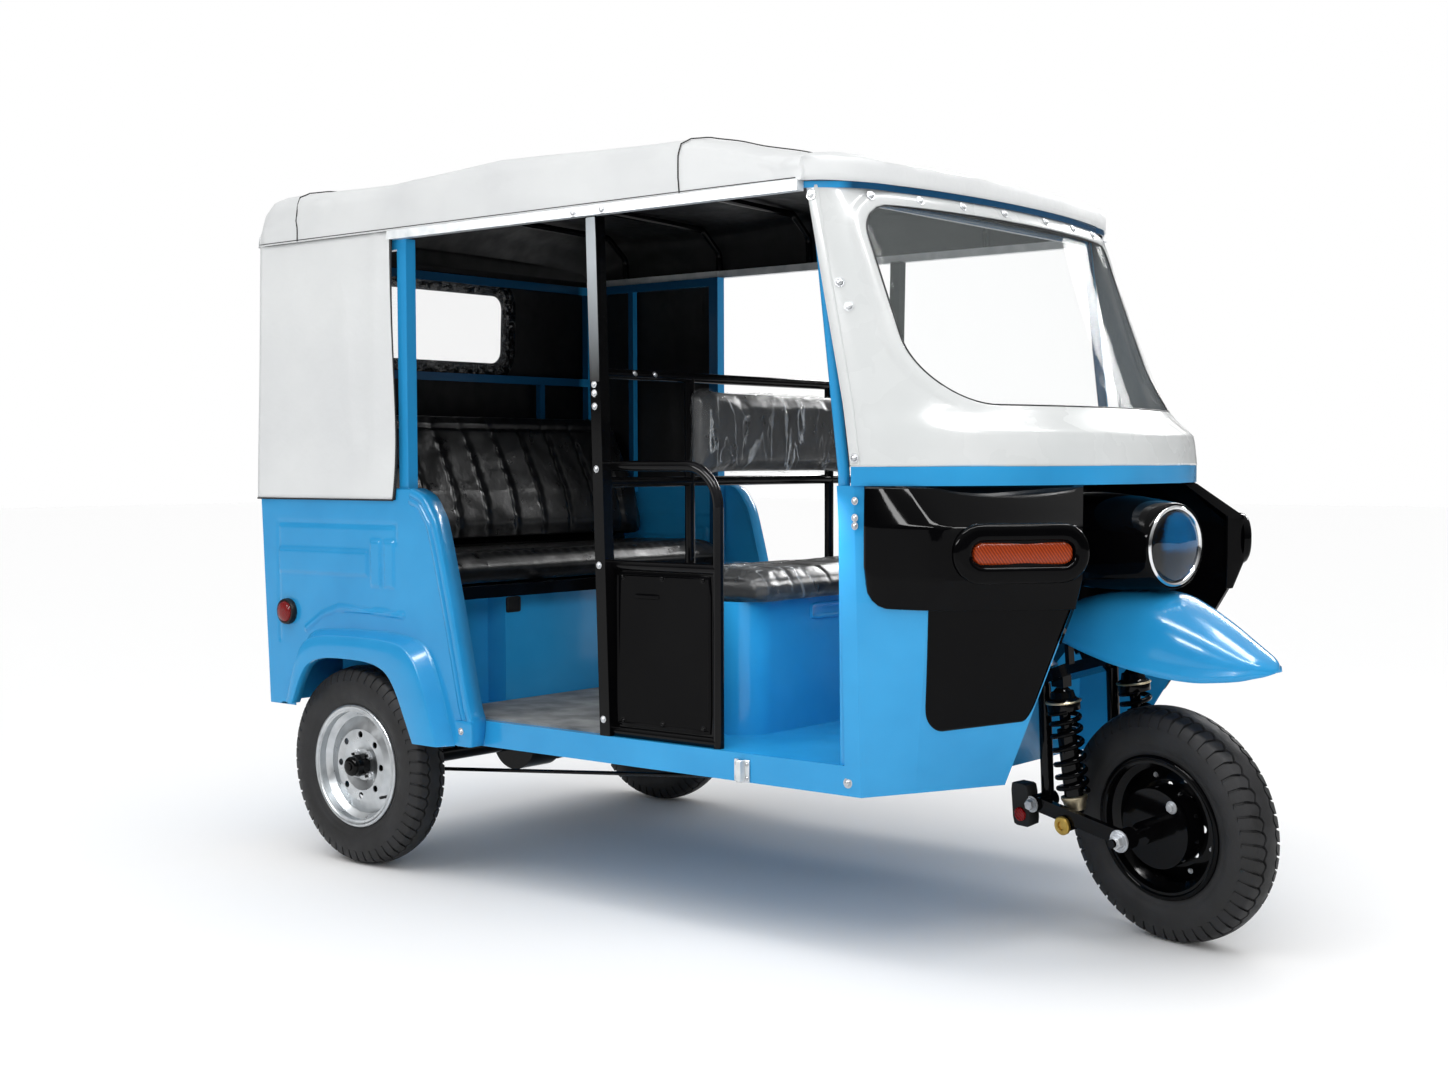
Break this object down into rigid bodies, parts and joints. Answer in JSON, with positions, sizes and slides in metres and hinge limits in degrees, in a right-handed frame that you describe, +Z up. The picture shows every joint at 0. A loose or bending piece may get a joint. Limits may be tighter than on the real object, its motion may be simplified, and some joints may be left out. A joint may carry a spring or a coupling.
{
  "type": "auto rickshaw",
  "caption": "Three-wheeled passenger auto rickshaw with an open cabin, soft canopy, bench seats and a steered front wheel on a raked fork.",
  "frame": {"origin": "on the ground at the middle of the whole vehicle's box", "axes": "+X forward, +Y to the vehicle's left, +Z up"},
  "size_m": [2.8172, 1.414, 1.863],
  "materials": {
    "tyre_rubber": "worn tread, satin",
    "rim_silver_paint": "silver paint",
    "rim_black_paint": "satin black paint",
    "hub_dark": "dark painted casting",
    "fork_black_paint": "satin black paint",
    "shock_steel": "plated steel",
    "body_blue_paint": "gloss blue paint",
    "gloss_black_plastic": "gloss black",
    "lamp_chrome": "chrome ring and clear lens",
    "chassis_black_paint": "satin black paint",
    "white_fibreglass": "gloss white gelcoat",
    "clear_glass": "clear",
    "amber_lens": "clear amber",
    "red_lens": "clear red",
    "black_trim_plastic": "matte black",
    "frame_black_paint": "satin black paint",
    "aluminium_rail": "mill finish",
    "black_vinyl": "satin black vinyl",
    "battery_case": "matte",
    "mat_rubber": "ribbed rubber",
    "canopy_white_vinyl": "white coated cloth",
    "window_film": "clear film"
  },
  "bodies": {
    "rear_wheel_right": {"rear_wheel_right_tyre": "tyre_rubber", "rear_wheel_right_rim": "rim_silver_paint", "rear_wheel_right_hub": "hub_dark"},
    "rear_wheel_left": {"rear_wheel_left_tyre": "tyre_rubber", "rear_wheel_left_rim": "rim_silver_paint", "rear_wheel_left_hub": "hub_dark"},
    "front_wheel": {"front_wheel_tyre": "tyre_rubber", "front_wheel_rim": "rim_black_paint", "front_wheel_hub": "hub_dark"},
    "steering": {"front_fork": "fork_black_paint", "steering_stem": "fork_black_paint", "front_shocks": "shock_steel", "front_mudguard": "body_blue_paint", "headlamp_nacelle": "gloss_black_plastic", "headlamp": "lamp_chrome"},
    "body": {"backrest_frame": "frame_black_paint", "battery_pack": "battery_case", "brake_rod": "chassis_black_paint", "canopy_roof": "canopy_white_vinyl", "centre_pillars": "frame_black_paint", "chassis_frame": "chassis_black_paint", "dashboard": "black_trim_plastic", "driver_backrest_pad": "black_vinyl", "driver_seat_box": "body_blue_paint", "driver_seat_cushion": "black_vinyl", "floor_mat": "mat_rubber", "floor_pan": "body_blue_paint", "front_cowl": "body_blue_paint", "front_fairing": "white_fibreglass", "front_pillars": "frame_black_paint", "lamp_wings": "gloss_black_plastic", "leaf_springs": "chassis_black_paint", "lower_panels": "gloss_black_plastic", "passenger_seat_back": "black_vinyl", "passenger_seat_box": "body_blue_paint", "passenger_seat_cushion": "black_vinyl", "passenger_seat_frame": "chassis_black_paint", "rear_axle": "chassis_black_paint", "rear_curtain": "canopy_white_vinyl", "rear_side_panels": "body_blue_paint", "rear_wall": "body_blue_paint", "rear_window": "window_film", "roof_bows": "body_blue_paint", "roof_rails": "aluminium_rail", "side_curtains": "canopy_white_vinyl", "side_guards": "frame_black_paint", "tail_lamps": "red_lens", "turn_lamps": "amber_lens", "upper_frame": "body_blue_paint", "windshield": "clear_glass"}
  },
  "joints": [
    {"name": "steering_turn", "type": "hinge", "parent": "body", "child": "steering", "pos_m": [1.0604, 0, 0.26972], "axis": [-0.4067, 0, 0.9135], "range_deg": [-25, 55]},
    {"name": "front_wheel_spin", "type": "hinge", "parent": "steering", "child": "front_wheel", "pos_m": [1.11578, -0.01348, 0.269], "axis": [0.2364, 0.9659, 0.1053], "continuous": true},
    {"name": "rear_wheel_right_spin", "type": "hinge", "parent": "body", "child": "rear_wheel_right", "pos_m": [-0.9536, -0.608, 0.27], "axis": [0, 1, 0], "continuous": true},
    {"name": "rear_wheel_left_spin", "type": "hinge", "parent": "body", "child": "rear_wheel_left", "pos_m": [-0.9536, 0.608, 0.27], "axis": [0, 1, 0], "continuous": true}
  ]
}
